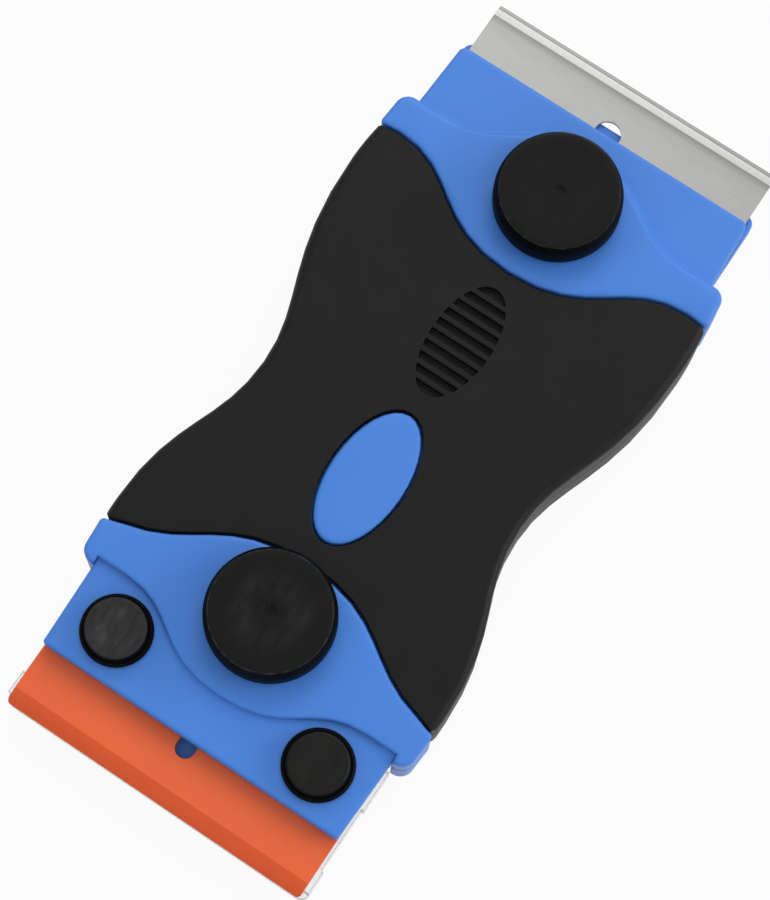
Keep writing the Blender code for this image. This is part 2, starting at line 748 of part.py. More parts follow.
half_metal = metal_blade_thickness / 2
metal_blade = blade_section("metal_blade", metal_end, [
    (0.0, -metal_tip_thickness / 2), (0.0, metal_tip_thickness / 2),
    (metal_edge_width, metal_facet_thickness / 2), (metal_bevel_width, half_metal),
    (metal_blade_depth, half_metal), (metal_blade_depth, -half_metal),
    (metal_bevel_width, -half_metal), (metal_edge_width, -metal_facet_thickness / 2),
], blade_steel)
slot_centre = overall_length / 2 - slot_setback
cut(metal_blade, rear_slot("metal_blade_slot", metal_end, 0.0, slot_centre, metal_slot_radius))

half_plastic = plastic_blade_thickness / 2
plastic_blade = blade_section("plastic_blade", plastic_end, [
    (0.0, -half_plastic), (0.0, plastic_tip_thickness - half_plastic),
    (plastic_bevel_width, half_plastic), (plastic_blade_depth, half_plastic),
    (plastic_blade_depth, -half_plastic),
], orange_plastic)
plan = corner(plastic_blade_half_width, -overall_length / 2, plastic_corner_radius, (1.0, 0.0), (0.0, 1.0))
plan.append(Knot(plastic_blade_half_width, -(overall_length / 2 - plastic_blade_depth)))
keep_within(plastic_blade, prism("plastic_blade_plan", mirrored_loop(plan), blade_plane - overrun,
                                 blade_plane + overrun, collection=cutters, steps=small_curve_steps))
cut(plastic_blade,
    rear_slot("plastic_blade_slot", plastic_end, 0.0, slot_centre, plastic_slot_radius),
    rear_slot("left_pin_slot", plastic_end, -pin_side_distance, pin_distance, pin_radius + fit_gap),
    rear_slot("right_pin_slot", plastic_end, pin_side_distance, pin_distance, pin_radius + fit_gap))

# Knobs with their studs, and the washers they turn on
knob_top = knob_bottom + knob_height
stud_head_bottom = knob_bottom + fit_gap
for end in ends:
    y = end.sign * end.knob
    dish = knob_top - knob_dish_depth
    socket = stud_head_radius + fit_gap
    turned(f"{end.name}_knob", [
        (0.0, dish - gate_depth), (gate_radius, dish),
        (knob_dish_radius, dish), (knob_dish_radius + knob_dish_slope, knob_top),
        *arc(knob_radius - knob_edge_radius, knob_top - knob_edge_radius, knob_edge_radius, 90.0, 0.0),
        *arc(knob_radius - knob_edge_radius, knob_bottom + knob_edge_radius, knob_edge_radius, 0.0, -90.0),
        (socket, knob_bottom),
        (socket, stud_head_bottom + stud_head_height + fit_gap),
        (0.0, stud_head_bottom + stud_head_height + fit_gap),
    ], 0.0, y, knob_black, steps=knob_steps)
    stud_tip = blade_plane - end.blade_thickness / 2 - fit_gap - clamp_plate_thickness
    turned(f"{end.name}_stud", [
        (0.0, stud_head_bottom + stud_head_height), (stud_head_radius, stud_head_bottom + stud_head_height),
        (stud_head_radius, stud_head_bottom), (stud_radius, stud_head_bottom),
        (stud_radius, stud_tip), (0.0, stud_tip),
    ], 0.0, y, hardware_steel, steps=fastener_steps)
    turned(f"{end.name}_washer", [
        (stud_radius + fit_gap, lobe_top), (washer_radius, lobe_top),
        (washer_radius, lobe_top - washer_thickness), (stud_radius + fit_gap, lobe_top - washer_thickness),
    ], 0.0, y, hardware_steel, steps=fastener_steps, closed=True)

# Clear guard: a tray hooked over the clamp plate's flanges, under the plastic blade
clamp_bottom = blade_plane - plastic_blade_thickness / 2 - fit_gap - clamp_plate_thickness
guard_floor_top = clamp_bottom - fit_gap
guard_bottom = guard_floor_top - guard_floor_thickness
guard_top = clamp_bottom + clamp_plate_thickness
guard_inner = plastic_clamp_half_width + fit_gap
guard_outer = guard_inner + guard_wall
guard_front = overall_length / 2 - guard_front_setback
outline = corner(guard_outer + guard_ear_proud, -guard_front, guard_corner_radius, (1.0, 0.0), (0.0, 1.0))
outline.append(Knot(guard_outer + guard_ear_proud, -guard_front + guard_cheek_length))
outline.append(Knot(guard_outer, -guard_front + guard_cheek_length))
outline.append(Knot(guard_outer, -guard_floor_rear_distance))
guard = prism("blade_guard", mirrored_loop(outline), guard_bottom, guard_bottom + guard_lip_height,
              clear_plastic, steps=small_curve_steps)
cut(guard, box("guard_hollow", (-guard_inner, guard_inner),
               (-guard_front + guard_lip_width, -guard_floor_rear_distance + overrun),
               (guard_floor_top, guard_bottom + guard_lip_height + overrun)))
hook_low = clamp_bottom + clamp_flange_thickness + fit_gap
for side in (-1, 1):
    wall_x = sorted((side * guard_inner, side * guard_outer))
    proud_x = sorted((side * guard_inner, side * (guard_outer + guard_ear_proud)))
    hook_x = sorted((side * (guard_outer - guard_wall / 2), side * (guard_inner - guard_hook_width)))
    add(guard,
        box(f"guard_wall_{side}", wall_x, (-guard_front + guard_corner_radius, -guard_rear_distance),
            (guard_bottom, guard_top)),
        box(f"guard_ear_{side}", proud_x, (-guard_rear_distance - guard_ear_length, -guard_rear_distance),
            (guard_bottom, guard_top)),
        box(f"guard_cheek_{side}", proud_x,
            (-guard_front + guard_corner_radius, -guard_front + guard_cheek_length),
            (guard_bottom, guard_top)),
        box(f"guard_hook_{side}", hook_x,
            (-plastic_plate_front_distance, -guard_rear_distance - guard_ear_length - fit_gap),
            (hook_low, hook_low + guard_hook_height)))

for piece in parts.objects:
    if piece.type == 'MESH':
        piece.data.shade_smooth()
        piece.data.set_sharp_from_angle(angle=math.radians(35.0))
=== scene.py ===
"""A two-ended hob scraper lying on a white table, seen from above."""

import math

import bmesh
import bpy
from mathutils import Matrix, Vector


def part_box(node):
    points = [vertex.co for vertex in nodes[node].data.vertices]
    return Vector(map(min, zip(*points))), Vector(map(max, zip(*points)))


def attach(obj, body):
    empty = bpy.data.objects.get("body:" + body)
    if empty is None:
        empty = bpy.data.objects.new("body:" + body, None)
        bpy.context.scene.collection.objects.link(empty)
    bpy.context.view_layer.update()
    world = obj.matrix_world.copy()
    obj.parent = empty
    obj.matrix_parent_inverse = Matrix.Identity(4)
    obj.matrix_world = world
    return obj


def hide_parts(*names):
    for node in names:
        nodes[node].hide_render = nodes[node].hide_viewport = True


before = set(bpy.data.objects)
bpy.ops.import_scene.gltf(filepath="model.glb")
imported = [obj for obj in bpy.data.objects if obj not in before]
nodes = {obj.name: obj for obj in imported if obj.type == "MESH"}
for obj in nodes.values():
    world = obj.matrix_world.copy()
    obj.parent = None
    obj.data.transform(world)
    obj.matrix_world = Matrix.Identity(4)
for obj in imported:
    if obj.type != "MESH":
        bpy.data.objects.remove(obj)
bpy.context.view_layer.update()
scene = bpy.context.scene


# Camera and light. A long lens stands above the tool, a little to its right and beyond its orange
# blade. One window box and one side card light the tool from the steel blade's end, and an even
# white room fills the shadows, as in a product photograph.

camera_data = bpy.data.cameras.new("photo_camera")
camera_data.sensor_width = 36.0
camera_data.lens = 111.1156
camera_data.clip_start = 0.01
camera = bpy.data.objects.new("photo_camera", camera_data)
camera.location = (0.037132, -0.071769, 0.315898)
camera.rotation_euler = (0.247163, -0.021717, 0.586349)
scene.collection.objects.link(camera)
scene.camera = camera
scene.view_settings.view_transform = 'Standard'


def soft_box(name, place, width, height, watts):
    """An area lamp that points at the middle of the tool."""
    lamp = bpy.data.lights.new(name, 'AREA')
    lamp.shape = 'RECTANGLE'
    lamp.size = width
    lamp.size_y = height
    lamp.energy = watts
    stand = bpy.data.objects.new(name, lamp)
    stand.location = place
    stand.rotation_euler = (-Vector(place)).to_track_quat('-Z', 'Y').to_euler()
    scene.collection.objects.link(stand)


soft_box("window_box", place=(-0.30, 0.79, 0.86), width=0.70, height=0.70, watts=3.5)
soft_box("side_card", place=(0.83, 0.55, 0.42), width=0.80, height=0.40, watts=5.0)

room_brightness = 0.74
room = bpy.data.worlds.new("room")
room.use_nodes = True
room_light = room.node_tree.nodes["Background"]
room_light.inputs["Color"].default_value = (1.0, 1.0, 1.0, 1.0)
room_light.inputs["Strength"].default_value = room_brightness
scene.world = room


# Table. A matt white board under the tool. It reads as plain white to the eye and in what the
# blade and the clear guard mirror, and still takes a faint shadow.

table_reach = 3.0
table_drop = 0.0001         # the board lies this far below the tool, so that no two faces meet
board_glow = 0.92           # share of plain white in what the eye sees of the board
board_tone = 0.80           # paint tone for the eye and for mirrored light
bounce_tone = 0.45          # paint tone for the light that the board throws back on the tool
full_range = (0.0, 1.0)


def feed(tree, socket, value):
    """Sets a socket to a plain value, or links another step's result to it."""
    if isinstance(value, bpy.types.NodeSocket):
        tree.links.new(value, socket)
    else:
        socket.default_value = value


def step(tree, kind, **sockets):
    """One step of a finish, with some of its sockets fed."""
    made = tree.nodes.new(kind)
    for name, value in sockets.items():
        feed(tree, made.inputs[name.replace("_", " ")], value)
    return made


def sum_of(tree, operation, *values):
    """The result of one sum on plain numbers and on other steps' results."""
    made = tree.nodes.new("ShaderNodeMath")
    made.operation = operation
    for socket, value in zip(made.inputs, values):
        feed(tree, socket, value)
    return made.outputs[0]


def rescale(tree, value, source, target, easing='LINEAR'):
    """Carries a value from the source range over to the target range, and holds it there."""
    made = step(tree, "ShaderNodeMapRange", Value=value, From_Min=source[0], From_Max=source[1],
                To_Min=target[0], To_Max=target[1])
    made.interpolation_type = easing
    return made.outputs["Result"]


def finish(name, colour, **settings):
    """A new finish: itself, its tree of steps, its shader and the place on the piece."""
    made = bpy.data.materials.new(name)
    made.use_nodes = True
    made.diffuse_color = colour
    shader = made.node_tree.nodes["Principled BSDF"]
    for setting, value in settings.items():
        shader.inputs[setting.replace("_", " ")].default_value = value
    place = made.node_tree.nodes.new("ShaderNodeTexCoord").outputs["Object"]
    return made, made.node_tree, shader, place


table_mesh = bpy.data.meshes.new("table")
table_shape = bmesh.new()
bmesh.ops.create_grid(table_shape, x_segments=1, y_segments=1, size=table_reach)
table_shape.to_mesh(table_mesh)
table_shape.free()
table = bpy.data.objects.new("table", table_mesh)
table.location.z = -table_drop
scene.collection.objects.link(table)

table_paint, tree, board = finish("table_paint", (0.8, 0.8, 0.8, 1.0), Roughness=0.9,
                                  Specular_IOR_Level=0.1)[:3]
light = tree.nodes.new("ShaderNodeLightPath")
seen = sum_of(tree, 'MAXIMUM', light.outputs["Is Camera Ray"], light.outputs["Is Glossy Ray"])
seen_or_through = sum_of(tree, 'MAXIMUM', seen, light.outputs["Is Transmission Ray"])
feed(tree, board.inputs["Base Color"],
     rescale(tree, seen, full_range, (bounce_tone, board_tone)))
white = step(tree, "ShaderNodeEmission", Color=(1.0, 1.0, 1.0, 1.0), Strength=1.0)
blend = tree.nodes.new("ShaderNodeMixShader")
feed(tree, blend.inputs[0], sum_of(tree, 'MULTIPLY', seen_or_through, board_glow))
feed(tree, blend.inputs[1], board.outputs[0])
feed(tree, blend.inputs[2], white.outputs[0])
feed(tree, tree.nodes["Material Output"].inputs["Surface"], blend.outputs[0])
table_mesh.materials.append(table_paint)


# Hard blue handle halves and clamp plates. Injection-moulded hard plastic in one bright blue. The
# two halves are screwed together from below and carry the knob lobes, the wings and the upper
# blade plates, and the clamp plates slide under the blades. The moulds leave a satin grain.

bright_blue = (0.055, 0.210, 0.668)
middle_part = (0.3, 0.7)        # the part of a noise where most of its values lie
narrow_part = (0.35, 0.65)
gloss_drift = 0.05              # the roughness wanders this much to either side
fleck_scale = 1.6               # flecks are this much finer than the grain
weld_reach = 0.000001


def noise(tree, place, scale, detail, roughness=0.5):
    """A value that wanders between 0 and 1 over the piece."""
    made = step(tree, "ShaderNodeTexNoise", Vector=place, Scale=scale, Detail=detail,
                Roughness=roughness)
    return made.outputs["Fac"]


def shade(tree, colour, strength):
    """A colour made lighter or darker."""
    made = tree.nodes.new("ShaderNodeVectorMath")
    made.operation = 'SCALE'
    feed(tree, made.inputs[0], colour)
    feed(tree, made.inputs["Scale"], strength)
    return made.outputs["Vector"]


def relief(tree, height, depth, **under):
    """The way that light falls on a surface whose height wanders by a small depth."""
    made = step(tree, "ShaderNodeBump", Height=height, Strength=1.0, Distance=depth, **under)
    return made.outputs["Normal"]


def moulding(name, colour, roughness, shine, grain_size, grain_depth, tone=0.06, mottle=0.012,
             rolled_edge=0.0002):
    """A moulded plastic or rubber: slow drift of tone and gloss, fine grain, rolled edges."""
    made, tree, shader, place = finish(name, (*colour, 1.0), Specular_IOR_Level=shine)
    drift = noise(tree, place, scale=1.0 / mottle, detail=3.0, roughness=0.6)
    flecks = noise(tree, place, scale=fleck_scale / grain_size, detail=2.0, roughness=0.7)
    grain = noise(tree, place, scale=1.0 / grain_size, detail=4.0, roughness=0.65)
    strength = sum_of(tree, 'MULTIPLY',
                      rescale(tree, drift, middle_part, (1.0 - tone, 1.0 + tone)),
                      rescale(tree, flecks, narrow_part, (1.0 - tone / 2, 1.0 + tone / 2)))
    feed(tree, shader.inputs["Base Color"], shade(tree, colour, strength))
    feed(tree, shader.inputs["Roughness"],
         rescale(tree, drift, full_range, (roughness - gloss_drift, roughness + gloss_drift)))
    roll = step(tree, "ShaderNodeBevel", Radius=rolled_edge)
    roll.samples = 8
    feed(tree, shader.inputs["Normal"],
         relief(tree, grain, grain_depth, Normal=roll.outputs["Normal"]))
    return made


def dress(look, slot, *names, crease=38.0):
    """Gives pieces of the frame their finish, and shades each curved wall as one smooth face."""
    for name in names:
        mesh = nodes[name].data
        mesh.materials.clear()
        mesh.materials.append(look)
        if mesh.has_custom_normals:
            mesh.attributes.remove(mesh.attributes["custom_normal"])
        mesh.shade_smooth()
        joined = nodes[name].modifiers.new("joined_edges", 'WELD')
        joined.merge_threshold = weld_reach
        creased = nodes[name].modifiers.new("creased_edges", 'EDGE_SPLIT')
        creased.split_angle = math.radians(crease)
        nodes[name].modifiers.new("even_shading", 'WEIGHTED_NORMAL')


satin_blue = moulding("satin_blue", bright_blue, roughness=0.42, shine=0.35, grain_size=0.00016,
                      grain_depth=0.000004, tone=0.03, rolled_edge=0.0007)
dress(satin_blue, "blue_plastic", "upper_housing", "lower_housing", "metal_end_clamp_plate",
      "plastic_end_clamp_plate")


# Soft grips. Black thermoplastic rubber, moulded over the waist of each half and slightly proud of
# the hard plastic. Its matt skin shows fine flecks and faint flow marks.

rubber_black = (0.0050, 0.0050, 0.0050)
soft_skin = moulding("soft_skin", rubber_black, roughness=0.50, shine=0.20, grain_size=0.00022,
                     grain_depth=0.000010, tone=0.22, mottle=0.006)
dress(soft_skin, "soft_black", "upper_grip", "lower_grip")


# Thumb knobs. Black nylon mouldings, each pressed over the head of a steel stud. The flat top has
# a shallow dish with the torn gate mark near its middle, its rim is painted paler in places as wear
# and painted highlight, and the shoulder falls away steeply to a duller side that the fingers grip,
# painted darker as painted shade.

knob_flat_setback = 0.00050     # the flat top ends this far inside the side
knob_flat_roll = 0.00008
knob_shoulder = ((0.00014, 0.00062), (0.00003, 0.00120), (0.0, 0.0018))   # inset, drop from the top
knob_foot = ((0.0, 0.0004), (0.0001, 0.00015), (0.0004, 0.0))       # inset, height above the lobe
knob_dish_radius = 0.0046
knob_dish_rim = 0.0062
knob_dish_depth = 0.00006
knob_fit = 0.0003
# Painted shade: the sides of knobs and caps are painted darker than their tops.
knob_side_shade_black = (0.0022, 0.0022, 0.0024)
gate_depth = 0.00016
gate_tear = 2.4                 # the gate mark's edge wanders by this many of its radii
gate_fade = (1.2, 2.7)          # the mark fades out between these many of its radii
ring_stops = ((0.16, 0.0), (0.45, 1.0), (0.85, 0.0))    # share of the ring's width, strength
rim_highlight_band = (0.00022, 0.00006)      # the rim painted paler as wear and highlight starts and is full this far inside it
rim_highlight_part = (0.44, 0.62)        # painted paler only where the noise is high
rim_highlight_gain = (0.4, 6.0)
scuff_turn = (0.0, 0.0, 0.5)
scuff_stretch = (1.0, 0.35, 1.0)
nylon_gloss = (0.38, 0.50)
nylon_skin_depth = 0.000008
sharp_turn = math.radians(40.0)


def turned(name, profile, centre, looks, wall_from, sides=96):
    """A round piece from its (radius, height) profile; from wall_from on it takes looks[1]."""
    mesh = bpy.data.meshes.new(name)
    shape = bmesh.new()
    rings = []
    for radius, height in profile:
        turns = [math.tau * count / sides for count in range(sides if radius else 1)]
        rings.append([shape.verts.new((radius * math.cos(turn), radius * math.sin(turn), height))
                      for turn in turns])
    for index, (inner, outer) in enumerate(zip(rings, rings[1:])):
        for this in range(sides):
            following = (this + 1) % sides
            corners = [inner[this % len(inner)], outer[this % len(outer)],
                       outer[following % len(outer)], inner[following % len(inner)]]
            face = shape.faces.new(list(dict.fromkeys(corners)))
            face.smooth = True
            face.material_index = 1 if index >= wall_from else 0
    bmesh.ops.recalc_face_normals(shape, faces=shape.faces)
    shape.to_mesh(mesh)
    shape.free()
    mesh.set_sharp_from_angle(angle=sharp_turn)
    for look in looks:
        mesh.materials.append(look)
    piece = bpy.data.objects.new(name, mesh)
    piece.location = (centre[0], centre[1], 0.0)
    scene.collection.objects.link(piece)
    return piece


def quarter_round(radius, height, roll, points=6):
    """The profile of a convex quarter round that starts level at (radius - roll, height)."""
    turns = [math.radians(90.0 * count / points) for count in range(points + 1)]
    return [(radius - roll + roll * math.sin(turn), height - roll + roll * math.cos(turn))
            for turn in turns]


def stretched(tree, place, scale):
    """The place on the piece, scaled by its own share on X, Y and Z."""
    made = step(tree, "ShaderNodeVectorMath", Vector=place)
    made.operation = 'MULTIPLY'
    made.inputs[1].default_value = scale
    return made.outputs["Vector"]


def nylon(name, colour, centre_tone, ring_tone, ring_radius, smudge_radius, rim_radius,
          scuff=0.28):
    """Black nylon: scuffed top, paler ring round the dish, gate mark, rim painted paler as wear and
    highlight.
    """
    made, tree, shader, place = finish(name, (*colour, 1.0), Specular_IOR_Level=0.14)
    flat_place = stretched(tree, place, (1.0, 1.0, 0.0))
    from_centre = step(tree, "ShaderNodeVectorMath", Vector=flat_place)
    from_centre.operation = 'LENGTH'
    distance = from_centre.outputs["Value"]
    wander = noise(tree, place, scale=900.0, detail=4.0, roughness=0.7)
    scuffed = step(tree, "ShaderNodeMapping", Vector=place, Rotation=scuff_turn,
                   Scale=scuff_stretch)
    cloud = noise(tree, scuffed.outputs["Vector"], scale=520.0, detail=5.0, roughness=0.7)

    torn = sum_of(tree, 'MULTIPLY_ADD', wander, smudge_radius * gate_tear, distance)
    smudge = rescale(tree, torn, [smudge_radius * share for share in gate_fade],
                     (centre_tone, 1.0), easing='SMOOTHERSTEP')

    over_ring = rescale(tree, distance, (0.0, ring_radius * 2.0), full_range)
    swell = step(tree, "ShaderNodeValToRGB", Fac=over_ring)
    swell.color_ramp.interpolation = 'EASE'
    while len(swell.color_ramp.elements) < len(ring_stops):
        swell.color_ramp.elements.new(1.0)
    for stop, (position, level) in zip(swell.color_ramp.elements, ring_stops):
        stop.position = position
        stop.color = (level, level, level, 1.0)
    patched_ring = sum_of(tree, 'MULTIPLY', swell.outputs["Color"],
                          rescale(tree, cloud, narrow_part, full_range))
    ring = sum_of(tree, 'MULTIPLY_ADD', patched_ring, ring_tone - 1.0, 1.0)

    # Wear and painted highlight: the rim is painted paler in patches.
    at_rim = rescale(tree, distance, [rim_radius - inset for inset in rim_highlight_band], full_range)
    rim = sum_of(tree, 'MULTIPLY_ADD', at_rim, rescale(tree, wander, rim_highlight_part, rim_highlight_gain), ring)
    specks = rescale(tree, cloud, middle_part, (1.0 - scuff, 1.0 + scuff))
    strength = sum_of(tree, 'MULTIPLY', sum_of(tree, 'MULTIPLY', smudge, rim), specks)
    feed(tree, shader.inputs["Base Color"], shade(tree, colour, strength))
    feed(tree, shader.inputs["Roughness"], rescale(tree, cloud, full_range, nylon_gloss))

    grain = noise(tree, place, scale=3500.0, detail=4.0, roughness=0.65)
    skin = relief(tree, grain, nylon_skin_depth)
    feed(tree, shader.inputs["Normal"], relief(tree, smudge, gate_depth, Normal=skin))
    return made


# The duller sides of knobs and caps, painted darker than the tops as painted shade.
shaded_nylon_side = moulding("shaded_nylon_side", knob_side_shade_black, roughness=0.55, shine=0.06,
                      grain_size=0.00030, grain_depth=nylon_skin_depth, tone=0.2, mottle=0.003,
                      rolled_edge=0.00008)
knob_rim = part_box("metal_end_knob")[1].x - knob_flat_setback
knob_looks = {
    "metal": nylon("nylon_metal_end", (0.0034, 0.0031, 0.0030), centre_tone=0.0, ring_tone=1.5,
                   ring_radius=0.0035, smudge_radius=0.00065, rim_radius=knob_rim),
    "plastic": nylon("nylon_plastic_end", (0.0046, 0.0046, 0.0044), centre_tone=0.0, ring_tone=2.8,
                     ring_radius=0.0033, smudge_radius=0.00095, rim_radius=knob_rim),
}
for end, look in knob_looks.items():
    low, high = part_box(f"{end}_end_knob")
    head_low, head_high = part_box(f"{end}_end_stud")
    knob_radius = high.x
    socket_radius = head_high.x + knob_fit
    socket_top = head_high.z + knob_fit
    dish_floor = high.z - knob_dish_depth
    profile = [(0.0, dish_floor), (knob_dish_radius, dish_floor), (knob_dish_rim, high.z)]
    profile += quarter_round(knob_radius - knob_flat_setback, high.z, knob_flat_roll, points=4)
    side_from = len(profile) - 1
    profile += [(knob_radius - inset, high.z - drop) for inset, drop in knob_shoulder]
    profile += [(knob_radius - inset, low.z + rise) for inset, rise in knob_foot]
    profile += [(socket_radius, low.z), (socket_radius, socket_top), (0.0, socket_top)]
    knob = turned(f"{end}_thumb_knob", profile, (0.0, (low.y + high.y) / 2), (look, shaded_nylon_side),
                  side_from)
    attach(knob, f"{end}_knob")
    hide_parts(f"{end}_end_knob")


# Pin caps. Black nylon caps pressed over the two locating pins. A cap is a round button with a
# rounded shoulder on a thin dull flange painted darker as painted shade, and its flat top is
# scuffed, the left one more than the right.

cap_flange_width = 0.00058
cap_flange_height = 0.00062
cap_shoulder = 0.00042
cap_rim = 0.0050                # past the cap's edge, so no rim is painted paler
cap_shaded_from = 4               # point of the profile where the duller side, painted darker as shade, starts
cap_groove = ((0.00002, 0.0001), (0.00012, 0.0001), (0.00022, 0.0))     # beyond the button, drop
cap_flange_edge = ((0.00022, 0.00004), (0.00006, 0.00016), (0.0, 0.00036))      # inset, drop
cap_looks = {
    "left": nylon("nylon_left_cap", (0.0235, 0.0230, 0.0226), centre_tone=0.9, ring_tone=1.5,
                  ring_radius=0.0018, smudge_radius=0.0002, rim_radius=cap_rim, scuff=0.60),
    "right": nylon("nylon_right_cap", (0.0088, 0.0086, 0.0080), centre_tone=0.9, ring_tone=1.2,
                   ring_radius=0.0018, smudge_radius=0.0002, rim_radius=cap_rim, scuff=0.4),
}
for side, look in cap_looks.items():
    low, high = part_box(f"{side}_cap")
    pin_low, pin_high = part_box(f"{side}_locating_pin")
    cap_radius = (high.x - low.x) / 2
    button_radius = cap_radius - cap_flange_width
    flange_top = low.z + cap_flange_height
    bore = (pin_high.x - pin_low.x) / 2 + knob_fit
    bore_top = pin_high.z + knob_fit
    profile = [(0.0, high.z), *quarter_round(button_radius, high.z, cap_shoulder)]
    profile += [(button_radius + beyond, flange_top - drop) for beyond, drop in cap_groove]
    profile += [(cap_radius - inset, flange_top - drop) for inset, drop in cap_flange_edge]
    profile += [(cap_radius, low.z), (bore, low.z), (bore, bore_top), (0.0, bore_top)]
    middle = ((low.x + high.x) / 2, (low.y + high.y) / 2)
    cap = turned(f"{side}_pin_cap", profile, middle, (look, shaded_nylon_side), cap_shaded_from, sides=72)
    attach(cap, "holder")
    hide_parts(f"{side}_cap")


# Steel blade. A 1.5 inch blade punched from hardened strip and ground to a double bevel, with a
# steeper hone at the very edge. The flat keeps the rolling marks along its length and the bevel has
# fine marks across it. Painted reflection runs in bands along the blade: the flat is painted darker
# towards the bevel, thin light and dark lines are painted at the edges of the bevel and the hone,
# and the hone is painted as a narrow darker grey band.

blade_low, blade_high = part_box("metal_blade")
blade_half_width = blade_high.x
blade_middle = (blade_low.z + blade_high.z) / 2
blade_half_thickness = (blade_high.z - blade_low.z) / 2
bevel_width = 0.00143
hone_width = 0.00052
hone_half_thickness = 0.00010
edge_half_thickness = 0.00002
blade_corner = 0.00012
blade_slot_radius = 0.00165
blade_slot_setback = 0.00675
slot_turn_step = 6
painted_reflection_reach = 0.0060            # painted reflection: the flat is painted darker over this length towards the bevel
steel_warmth = 0.985            # share of blue in the steel's grey
steel_gloss = (0.28, 0.42)
rolling_scale = (260.0, 9000.0, 9000.0)     # marks a metre on X, Y and Z
rolling_tone = (0.95, 1.05)
grinding_scale = (9000.0, 900.0, 900.0)
grinding_tone = (0.86, 1.12)
mark_depth = 0.000002
bevel_start = blade_high.y - bevel_width
hone_start = blade_high.y - hone_width
painted_reflection_start = bevel_start - painted_reflection_reach
slot_y = blade_high.y - blade_slot_setback

blade_mesh = bpy.data.meshes.new("ground_blade")
shape = bmesh.new()
slot_turns = [math.radians(turn) for turn in range(180, -1, -slot_turn_step)]
slot_end = [(blade_slot_radius * math.cos(turn), slot_y + blade_slot_radius * math.sin(turn))
            for turn in slot_turns]
flat = [(-blade_half_width, blade_low.y), (-blade_slot_radius, blade_low.y), *slot_end,
        (blade_slot_radius, blade_low.y), (blade_half_width, blade_low.y),
        (blade_half_width, bevel_start), (blade_half_width - blade_corner, bevel_start),
        (-blade_half_width + blade_corner, bevel_start), (-blade_half_width, bevel_start)]
corner_cut = [(blade_half_width, blade_corner), (blade_half_width - blade_corner, 0.0),
              (-blade_half_width + blade_corner, 0.0), (-blade_half_width, blade_corner)]
outlines = []
for side in (-1, 1):
    flat_rim = [shape.verts.new((x, y, blade_middle + side * blade_half_thickness))
                for x, y in flat]
    shape.faces.new(flat_rim)
    hone_row, edge_row = [
        [shape.verts.new((x, blade_high.y - setback - cut, blade_middle + side * half_thickness))
         for x, cut in corner_cut]
        for setback, half_thickness in ((hone_width, hone_half_thickness),
                                        (0.0, edge_half_thickness))]
    for before, after in ((flat_rim[-4:], hone_row), (hone_row, edge_row)):
        for first in range(3):
            shape.faces.new((before[first], before[first + 1], after[first + 1], after[first]))
    outlines.append(flat_rim[:-3] + [hone_row[0], *edge_row, hone_row[3], flat_rim[-1]])
below, above = outlines
for index, vert in enumerate(below):
    following = (index + 1) % len(below)
    shape.faces.new((vert, below[following], above[following], above[index]))
bmesh.ops.recalc_face_normals(shape, faces=shape.faces)
shape.to_mesh(blade_mesh)
shape.free()
ground_blade = bpy.data.objects.new("ground_blade", blade_mesh)
scene.collection.objects.link(ground_blade)
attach(ground_blade, "metal_blade")
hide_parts("metal_blade")

ground_steel, tree, shader, place = finish("ground_steel", (0.6, 0.6, 0.59, 1.0), Metallic=1.0)
along = step(tree, "ShaderNodeSeparateXYZ", Vector=place).outputs["Y"]
# Painted reflection: bands of tone along the blade stand in for how flat, bevel and hone reflect
# the room.
reflection_ramp = step(tree, "ShaderNodeValToRGB",
            Fac=rescale(tree, along, (painted_reflection_start, blade_high.y), full_range))
painted_reflection_bands = [                  # where each tone is reached, and how light it is
    (painted_reflection_start, 0.385),
    (bevel_start - 0.0030, 0.378),
    (bevel_start - 0.0010, 0.345),
    (bevel_start - 0.00002, 0.22),
    (bevel_start, 0.34),
    (hone_start - 0.00010, 0.37),
    (hone_start - 0.00003, 0.46),
    (hone_start, 0.170),
    (blade_high.y - 0.00030, 0.170),
    (blade_high.y - 0.00024, 0.27),
    (blade_high.y - 0.00014, 0.19),
]
while len(reflection_ramp.color_ramp.elements) < len(painted_reflection_bands):
    reflection_ramp.color_ramp.elements.new(1.0)
for stop, (y, tone) in zip(reflection_ramp.color_ramp.elements, painted_reflection_bands):
    stop.position = (y - painted_reflection_start) / (blade_high.y - painted_reflection_start)
    stop.color = (tone, tone, tone * steel_warmth, 1.0)


def marks(scale, tones):
    """Height and tone of fine lines drawn out one way."""
    height = noise(tree, stretched(tree, place, scale), scale=1.0, detail=3.0, roughness=0.6)
    return height, rescale(tree, height, middle_part, tones)


def flat_or_bevel(on_flat, on_bevel):
    """One value for the flat and another for the bevel."""
    made = tree.nodes.new("ShaderNodeMix")
    for socket, value in zip(made.inputs, (ground, None, on_flat, on_bevel)):
        if value is not None:
            feed(tree, socket, value)
    return made.outputs[0]


ground = sum_of(tree, 'GREATER_THAN', along, bevel_start)
rolled_height, rolled_tone = marks(rolling_scale, rolling_tone)
ground_height, ground_tone = marks(grinding_scale, grinding_tone)
height = flat_or_bevel(rolled_height, ground_height)
tone = flat_or_bevel(rolled_tone, ground_tone)
feed(tree, shader.inputs["Base Color"], shade(tree, reflection_ramp.outputs["Color"], tone))
feed(tree, shader.inputs["Roughness"], rescale(tree, height, full_range, steel_gloss))
feed(tree, shader.inputs["Normal"], relief(tree, height, mark_depth))
blade_mesh.materials.append(ground_steel)


# Orange plastic blade. A hard acetal blade for delicate glass, held by its slots on the two pins
# and cut with a single bevel. The cutter leaves fine lines along it, and the bevel is painted a
# deeper orange than the flat, as painted shade.

orange_flat = (0.800, 0.128, 0.037)
orange_bevel_shade = (0.680, 0.086, 0.016)
orange_drift = (0.97, 1.03)
orange_gloss = (0.40, 0.52)
orange_bevel_width = 0.0019
cutter_stretch = (0.05, 1.0, 1.0)
cutter_depth = 0.000004
orange_bevel_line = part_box("plastic_blade")[0].y + orange_bevel_width

